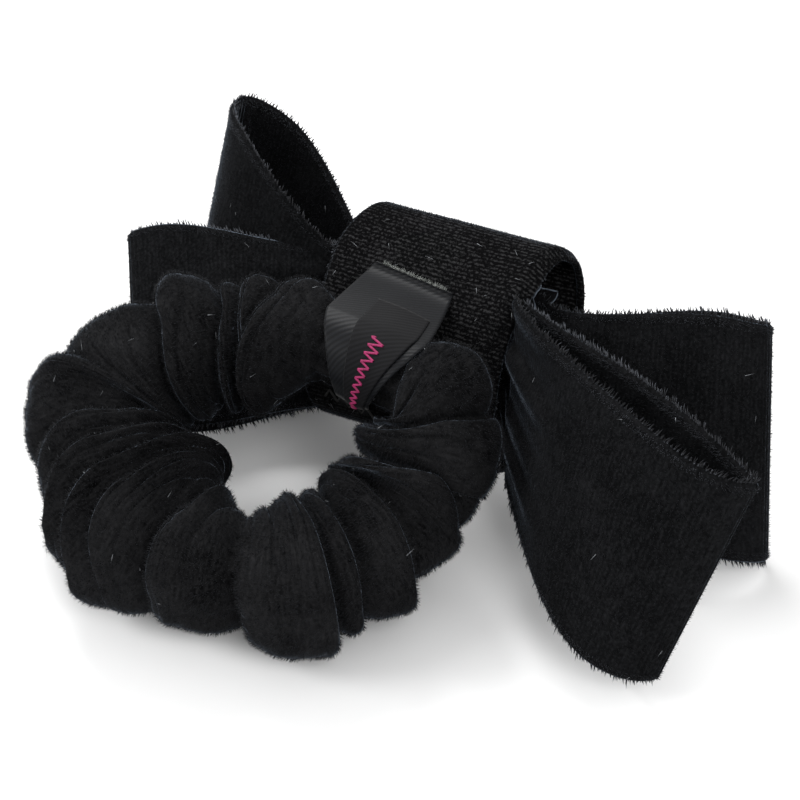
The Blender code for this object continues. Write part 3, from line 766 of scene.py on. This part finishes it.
def tuck(points, loop, share):
    """Carry both layers on into the wrap, drawn in towards its waist."""
    tuck_length = ROOT_REACH - TUCK_END
    inner = []
    for end, sign in ((0, 1.0), (-1, -1.0)):
        part = np.linspace(0.0, 1.0, TUCK_STEPS + 1)[1:]
        along = (ROOT_REACH - tuck_length * part) * loop["side"]
        depth = MIDDLE_DEPTH * loop["depth"] + sign * LAYER_OFFSET * 0.8
        target = wrap_point(along[:, None], (WAIST_WIDTH * share)[None], depth)
        first = points[end]
        heading = points[end] - points[1 if end == 0 else -2]
        reach = np.linalg.norm(heading, axis=-1, keepdims=True)
        ahead = first + (heading / np.maximum(reach, 1e-9))[None] * (part * tuck_length)[:, None, None]
        blend = smooth(part * 2.2)[:, None, None]
        rows = ahead * (1.0 - blend) + target * blend
        inner.append(rows[::-1] if end == 0 else rows)
    return np.concatenate([inner[0], points, inner[1]])


def ribbon_loop(name, loop, nodes):
    points, root, axis, length = loop_surface(loop)
    item, normal = cloth_object(name, points, RIBBON_THICKNESS, RIBBON_VELVET)
    random = np.random.default_rng(SEED + loop["seed"])
    parts = []
    # The edge fringe and nap take the lighter edge pile, whose colour is painted sheen along the ribbon's
    # edges.
    for side, column, inner in (("upper", -1, -2), ("lower", 0, 1)):
        outward = unit(points[:, column] - points[:, inner])
        edge = points[:, column] + outward * (RIBBON_THICKNESS * 0.2)
        parts.append(fringe(f"{name}_{side}_fringe", edge, outward, normal[:, column], *RIBBON_FRINGE,
                            random, EDGE_FIBRE_PAINTED_SHEEN))
        strip = slice(-3, None) if column == -1 else slice(0, 3)
        for face, sign in (("outer", 1.0), ("inner", -1.0)):
            surface = points[:, strip] + normal[:, strip] * (sign * RIBBON_THICKNESS * PILE_ROOT)
            parts.append(pile(f"{name}_{side}_{face}_nap", surface, normal[:, strip] * sign,
                              *RIBBON_EDGE_NAP, random, EDGE_FIBRE_PAINTED_SHEEN))
    for face, sign in (("outer", 1.0), ("inner", -1.0)):
        surface = points + normal * (sign * RIBBON_THICKNESS * PILE_ROOT)
        parts.append(pile(f"{name}_{face}_pile", surface, normal * sign, *RIBBON_PILE, random, FIBRE))
        parts.append(lint(f"{name}_{face}_lint", surface, normal * sign, RIBBON_LINT, random))
    for piece in (item, *parts):
        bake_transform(piece)
    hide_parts(*nodes)


def ribbon_gather(name, node, depth, seed):
    """The middle of a bow inside the wrap: its layers pleated and pressed together."""
    random = np.random.default_rng(seed)
    share = np.linspace(-0.5, 0.5, 91)
    part = np.linspace(-1.0, 1.0, 121)
    along = part * (WRAP_WIDTH / 2.0 - 3.0 * MM)
    width = WAIST_WIDTH + 4.0 * MM * smooth(np.abs(part))
    pleat = np.sin(2.0 * math.pi * 5.0 * share[None] + 0.8 * np.sin(part * 2.0)[:, None]) * 0.7 * MM
    pleat = pleat + np.sin(2.0 * math.pi * 11.0 * share[None] + random.uniform(0, 6)) * 0.2 * MM
    points = wrap_point(along[:, None], width[:, None] * share[None], depth + pleat)
    item, _ = cloth_object(name, points, GATHER_THICKNESS, RIBBON_VELVET)
    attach(item, "bow")
    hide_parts(node)


# ---------------------------------------------------------------- wrap

WRAP_THICKNESS = 1.4 * MM
WRAP_STEPS = 520
WRAP_COLUMNS = 97


def wrap_surface():
    """Middle surface of the wrap, a band with a slightly flared and curled edge at each end."""
    around = np.linspace(0.0, 2.0 * math.pi, WRAP_STEPS, endpoint=False)
    part = np.linspace(-1.0, 1.0, WRAP_COLUMNS)
    grid_around, grid_part = np.meshgrid(around, part, indexing="ij")
    half_height = WRAP_HALF_HEIGHT - WRAP_THICKNESS / 2.0
    half_depth = WRAP_HALF_DEPTH - WRAP_THICKNESS / 2.0
    flare = 0.6 * MM * grid_part ** 2
    curl = -1.6 * MM * smooth((np.abs(grid_part) - 0.9) / 0.1)
    softness = value_noise(grid_around / (2.0 * math.pi), grid_part * 0.25 + 0.5, 31, 9, 4) * 0.55 * MM
    extra = flare + curl + softness
    up = (half_height + extra) * power_wave(np.cos(grid_around), WRAP_SQUARENESS)
    out = (half_depth + extra) * power_wave(np.sin(grid_around), WRAP_SQUARENESS)
    edge = value_noise(grid_around / (2.0 * math.pi), grid_part * 0.0, 33, 12, 1) * 0.7 * MM
    along = WRAP_WIDTH / 2.0 * grid_part + edge * grid_part
    return wrap_point(along, up, out)


def centre_wrap():
    points = wrap_surface()
    item, normal = cloth_object("centre_wrap_velvet", points, WRAP_THICKNESS, WRAP_VELVET, closed=True)
    random = np.random.default_rng(SEED + 40)
    parts = []
    centre = points.mean(axis=(0, 1))
    sign = 1.0 if ((points - centre) * normal).sum() > 0.0 else -1.0
    # The fringes take the lighter edge pile, whose colour is painted sheen along the wrap's ends.
    for side, column, inner in (("right", -1, -2), ("left", 0, 1)):
        outward = unit(points[:, column] - points[:, inner])
        parts.append(fringe(f"centre_wrap_{side}_fringe", points[:, column], outward, normal[:, column],
                            *WRAP_FRINGE, random, EDGE_FIBRE_PAINTED_SHEEN))
    surface = points + normal * (sign * WRAP_THICKNESS * PILE_ROOT)
    parts.append(pile("centre_wrap_pile", surface, normal * sign, *WRAP_PILE, random, FIBRE, close_rows=True))
    parts.append(lint("centre_wrap_lint", surface, normal * sign, WRAP_LINT, random, close_rows=True))
    for piece in (item, *parts):
        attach(piece, "bow")
    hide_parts("centre_wrap")


# ---------------------------------------------------------------- strap and label

STRAP_TOP = (0.0 * MM, 9.6 * MM)
STRAP_TOP_BEND = (-1.0 * MM, 6.0 * MM)
STRAP_FOOT_BEND = (-9.0 * MM, -20.0 * MM)
STRAP_FOOT = (-9.0 * MM, -23.0 * MM)
STRAP_ARC = (28.0, 166.0)
STRAP_STEPS = 260
STRAP_COLUMNS = 41
STRAP_THICKNESS = 0.45 * MM
LABEL_COLUMNS = 31
LABEL_THICKNESS = 0.35 * MM
LABEL_LIFT = 0.5 * MM
# Where the label starts and ends along the strap.
LABEL_RUN = (0.13, 0.93)
RAW_FIBRES = 260


def wrap_face_height(up):
    share = np.minimum(abs(up) / WRAP_HALF_HEIGHT, 0.999)
    return WRAP_HALF_DEPTH * (1.0 - share ** WRAP_SQUARENESS) ** (1.0 / WRAP_SQUARENESS)


def strap_stations():
    """Points along the strap's middle, with the direction across it."""
    neck = np.array(NECK_ANGLE)
    centre = ring_line(neck)
    axis = ring_frame(neck)[0]
    away = unit(OUT - axis * (OUT @ axis))
    rise = np.cross(away, axis)
    if rise @ UP < 0.0:
        rise = -rise
    face = WRAP_AXES @ OUT
    flat_axis = unit(axis - face * (axis @ face))
    stations = []

    def on_wrap(along, up):
        out = wrap_face_height(up) + STRAP_LIFT
        return wrap_point(along, up, out), flat_axis

    stations.append(on_wrap(*STRAP_TOP))
    stations.append(on_wrap(*STRAP_TOP_BEND))
    for degrees in np.linspace(*STRAP_ARC, 9):
        angle = math.radians(degrees)
        stations.append((centre + (rise * math.cos(angle) + away * math.sin(angle)) * STRAP_REACH, axis))
    stations.append(on_wrap(*STRAP_FOOT_BEND))
    stations.append(on_wrap(*STRAP_FOOT))
    return np.array([s[0] for s in stations]), np.array([s[1] for s in stations])


def smooth_path(values, steps):
    """Catmull-Rom through the values, evenly stepped."""
    padded = np.concatenate([2 * values[:1] - values[1:2], values, 2 * values[-1:] - values[-2:-1]])
    out = []
    for t in np.linspace(0.0, len(values) - 1.0001, steps):
        i = int(t)
        f = t - i
        a, b, c, d = padded[i:i + 4]
        out.append(0.5 * (2 * b + (c - a) * f + (2 * a - 5 * b + 4 * c - d) * f ** 2
                          + (3 * b - a - 3 * c + d) * f ** 3))
    return np.array(out)


# Where the strap's two edges run, across it, from its raw end to its tip. It narrows as it goes under.
STRAP_RUN = [0.0, 0.10, 0.20, 0.35, 0.50, 0.65, 0.80, 0.90, 1.0]
STRAP_LEFT = [-10.2, -11.4, -12.2, -9.8, -6.0, -3.6, -2.7, -3.4, -4.0]
STRAP_RIGHT = [9.4, 11.6, 12.2, 11.8, 9.4, 7.0, 4.6, 4.8, 4.4]


def eased(values, reach=20):
    """Running mean that keeps the ends."""
    padded = np.pad(values, reach, mode="edge")
    return np.convolve(padded, np.full(2 * reach + 1, 1.0 / (2 * reach + 1)), mode="valid")


def eased_path(points):
    """Round off the corners of a path."""
    return np.stack([eased(points[:, k], reach=12) for k in range(3)], axis=1)


def strap_surface(width, lift, shift=0.0, first=0.0, last=1.0, columns=STRAP_COLUMNS):
    """Grid of the strap, or of a strip along it whose width and shift are shares of the strap's own."""
    middle, across = strap_stations()
    middle = eased_path(smooth_path(middle, STRAP_STEPS))
    across = unit(eased_path(smooth_path(across, STRAP_STEPS)))
    ahead = unit(np.gradient(middle, axis=0))
    normal = unit(np.cross(across, ahead))
    if normal[STRAP_STEPS // 2] @ OUT < 0.0:
        normal = -normal
    start = int(first * (STRAP_STEPS - 1))
    stop = int(last * (STRAP_STEPS - 1)) + 1
    share = np.linspace(-0.5, 0.5, columns)
    wave = 0.18 * MM * np.sin(np.linspace(0.0, 9.0, STRAP_STEPS))[:, None] * np.cos(share * 5.0)[None]
    run = np.linspace(0.0, 1.0, STRAP_STEPS)
    left = eased(np.interp(run, STRAP_RUN, STRAP_LEFT)) * MM
    right = eased(np.interp(run, STRAP_RUN, STRAP_RIGHT)) * MM
    if across[0] @ ACROSS < 0.0:
        left, right = -right, -left
    offset = ((left + right) / 2.0)[:, None] + (share[None] * width + shift) * (right - left)[:, None]
    points = middle[:, None] + across[:, None] * offset[..., None]
    points = points + normal[:, None] * (lift + wave)[..., None]
    return points[start:stop], normal[start:stop], ahead[start:stop], across[start:stop]


# The label's width and its place across the strap, as shares of the strap's width.
LABEL_SHARE = 0.56
LABEL_SHIFT = -0.12


def satin_strap():
    points, normal, ahead, across = strap_surface(1.0, 0.0)
    strap, _ = cloth_object("satin_strap_tape", points, STRAP_THICKNESS, SATIN)
    label_points, label_normal, _, _ = strap_surface(
        LABEL_SHARE, LABEL_LIFT, LABEL_SHIFT, *LABEL_RUN, columns=LABEL_COLUMNS)
    label, _ = cloth_object("strap_label", label_points, LABEL_THICKNESS, LABEL)
    random = np.random.default_rng(SEED + 60)
    column = (RAW_FIBRES, 1)
    share = random.uniform(-0.5, 0.5, RAW_FIBRES)
    roots = points[0, STRAP_COLUMNS // 2] + across[0] * (share * STRAP_WIDTH)[:, None]
    roots = roots + normal[0] * random.normal(0, 0.15 * MM, column)
    direction = -ahead[0] + across[0] * random.normal(0.0, 0.45, column)
    direction = direction + normal[0] * random.normal(0.15, 0.35, column)
    lengths = random.uniform(0.4, 1.3, RAW_FIBRES) * MM
    fray = spikes("strap_raw_end", roots, direction, lengths, FIBRE_RADIUS, RAW_THREAD)
    motif = label_motif(label_points, label_normal)
    for piece in (strap, label, fray, motif):
        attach(piece, "bow")
    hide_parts("satin_strap")


def tube(path, radius, sides=8):
    """Points and quads of a closed round tube along a path."""
    ahead = unit(np.gradient(path, axis=0))
    helper = unit(np.cross(ahead, np.array([0.31, 0.52, 0.79])))
    other = np.cross(ahead, helper)
    angle = 2.0 * math.pi * np.arange(sides) / sides
    ends = np.minimum(1.0, np.minimum(np.arange(len(path)), np.arange(len(path))[::-1]) / 2.0 + 0.25)
    ring = helper[:, None] * np.cos(angle)[None, :, None] + other[:, None] * np.sin(angle)[None, :, None]
    points = path[:, None] + ring * (radius * ends)[:, None, None]
    quads, _, _ = grid_quads(len(path), sides, close_columns=True)
    first = np.array([[0, 1, 2, 3], [0, 3, 4, 7], [4, 5, 6, 7]])
    last = first[:, ::-1] + (len(path) - 1) * sides
    return points.reshape(-1, 3), np.concatenate([quads, first, last])


ZIGZAG_RUN = (0.24, 0.90)
ZIGZAG_STEPS = 340
ZIGZAG_TURNS = 16.0
ZIGZAG_HALF_WIDTH = 0.14
ZIGZAG_RADIUS = 0.26 * MM
ZIGZAG_LIFT = 0.22 * MM


def label_motif(points, normal):
    """A plain zigzag woven down the label."""
    rows, columns = points.shape[:2]
    t = np.linspace(*ZIGZAG_RUN, ZIGZAG_STEPS)
    zigzag = 2.0 * np.abs((t * ZIGZAG_TURNS) % 1.0 - 0.5) * 2.0 - 1.0
    row = t * (rows - 1)
    column = (0.5 + ZIGZAG_HALF_WIDTH * zigzag) * (columns - 1)
    r = np.floor(row).astype(int)
    c = np.floor(column).astype(int)
    fr = (row - r)[:, None]
    fc = (column - c)[:, None]
    path = ((points[r, c] * (1 - fr) + points[r + 1, c] * fr) * (1 - fc)
            + (points[r, c + 1] * (1 - fr) + points[r + 1, c + 1] * fr) * fc)
    path = path + normal[r] * ZIGZAG_LIFT
    tube_points, quads = tube(path, ZIGZAG_RADIUS)
    item = mesh_object("label_zigzag", tube_points, quads, PINK_THREAD)
    flip_if_inward(item)
    return item


# ---------------------------------------------------------------- elastic

ELASTIC_LAP_START = math.radians(125.0)
ELASTIC_LAP = math.radians(18.0)


def elastic():
    """The band inside the casing."""
    turn = np.linspace(0.0, 1.0 + ELASTIC_LAP / (2.0 * math.pi), 300)
    angle = ELASTIC_LAP_START + turn * 2.0 * math.pi
    _, outward, upward = ring_frame(angle)
    drift = (ELASTIC_THICKNESS + 0.3 * MM) * (turn - 0.5)
    centre = ring_line(angle) + outward * drift[:, None]
    share = np.linspace(-0.5, 0.5, 13)
    points = centre[:, None] + upward[:, None] * (share * ELASTIC_WIDTH)[None, :, None]
    ripple = 0.08 * MM * np.sin(turn * 420.0)
    points = points + outward[:, None] * ripple[:, None, None]
    band, _ = cloth_object("elastic_tape", points, ELASTIC_THICKNESS, ELASTIC)
    return band


def blend_with_ring(piece):
    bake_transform(piece)


CAMERA_PLACE = Vector((0.0, -256.0, 258.7)) * MM - Vector(FRAME_SHIFT)
CAMERA_FORWARD = Vector((0.0, 0.7314, -0.682))
# Name, place, size and energy of each soft light. They all aim at the object.
LIGHTS = [
    ("soft_back", (-0.25, 0.75, 0.85), 0.55, 9.0),
    ("soft_left", (-0.95, -0.15, 0.75), 0.5, 5.0),
    ("soft_front", (0.35, -0.7, 0.9), 0.6, 4.0),
]
FLOOR_HALF_WIDTH = 1.5


def camera_and_light():
    scene = bpy.context.scene
    camera_data = bpy.data.cameras.new("camera")
    camera_data.lens = 71.2
    camera_data.sensor_width = 36.0
    camera_data.clip_start = 0.01
    camera_data.clip_end = 10.0
    camera = bpy.data.objects.new("camera", camera_data)
    camera.location = CAMERA_PLACE
    camera.rotation_mode = "QUATERNION"
    camera.rotation_quaternion = CAMERA_FORWARD.to_track_quat("-Z", "Y")
    scene.collection.objects.link(camera)
    scene.camera = camera

    floor_points = np.array([[-1, -1, 0], [1, -1, 0], [1, 1, 0], [-1, 1, 0]]) * FLOOR_HALF_WIDTH
    pale, tree, shader = new_material("pale_floor")
    noise = add_node(tree, "ShaderNodeTexNoise", Scale=30.0, Detail=2.0)
    tone = add_ramp(tree, noise.outputs["Fac"], (0.90,) * 3, (0.94,) * 3)
    tree.links.new(tone, shader.inputs["Base Color"])
    set_inputs(shader, Roughness=0.9)
    floor = mesh_object("floor", floor_points, np.array([[0, 1, 2, 3]]), pale)

    for name, place, size, energy in LIGHTS:
        data = bpy.data.lights.new(name, "AREA")
        data.shape = "DISK"
        data.size = size
        data.energy = energy
        lamp = bpy.data.objects.new(name, data)
        lamp.location = place
        lamp.rotation_mode = "QUATERNION"
        lamp.rotation_quaternion = (-Vector(place)).to_track_quat("-Z", "Y")
        scene.collection.objects.link(lamp)
    world = bpy.data.worlds.new("studio")
    world.use_nodes = True
    background = world.node_tree.nodes["Background"]
    background.inputs["Color"].default_value = (1.0, 1.0, 1.0, 1.0)
    background.inputs["Strength"].default_value = 0.85
    scene.world = world
    scene.view_settings.view_transform = "Standard"


# ---------------------------------------------------------------- the whole

camera_and_light()
casing, casing_pile, casing_lint = ring_casing()
band = elastic()
for piece in (casing, casing_pile, casing_lint):
    blend_with_ring(piece)
blend_with_ring(band)
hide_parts("velvet_casing_rear", "velvet_casing_front")
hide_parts("elastic_band")
centre_wrap()
ribbon_gather("front_bow_gather", "front_bow_middle", MIDDLE_DEPTH, 51)
ribbon_gather("back_bow_gather", "back_bow_middle", -MIDDLE_DEPTH, 52)
for body, loop in LOOPS.items():
    bow, side = body.split("_")
    ribbon_loop(f"{body}_ribbon", loop, [f"{bow}_bow_{side}_loop"])
satin_strap()
for node in ("elastic_lap_thread", "neck_closing_thread", "bow_binding_thread", "wrap_closing_thread",
             "strap_tack_thread"):
    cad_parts[node].data.materials.clear()
    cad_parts[node].data.materials.append(BLACK_THREAD)
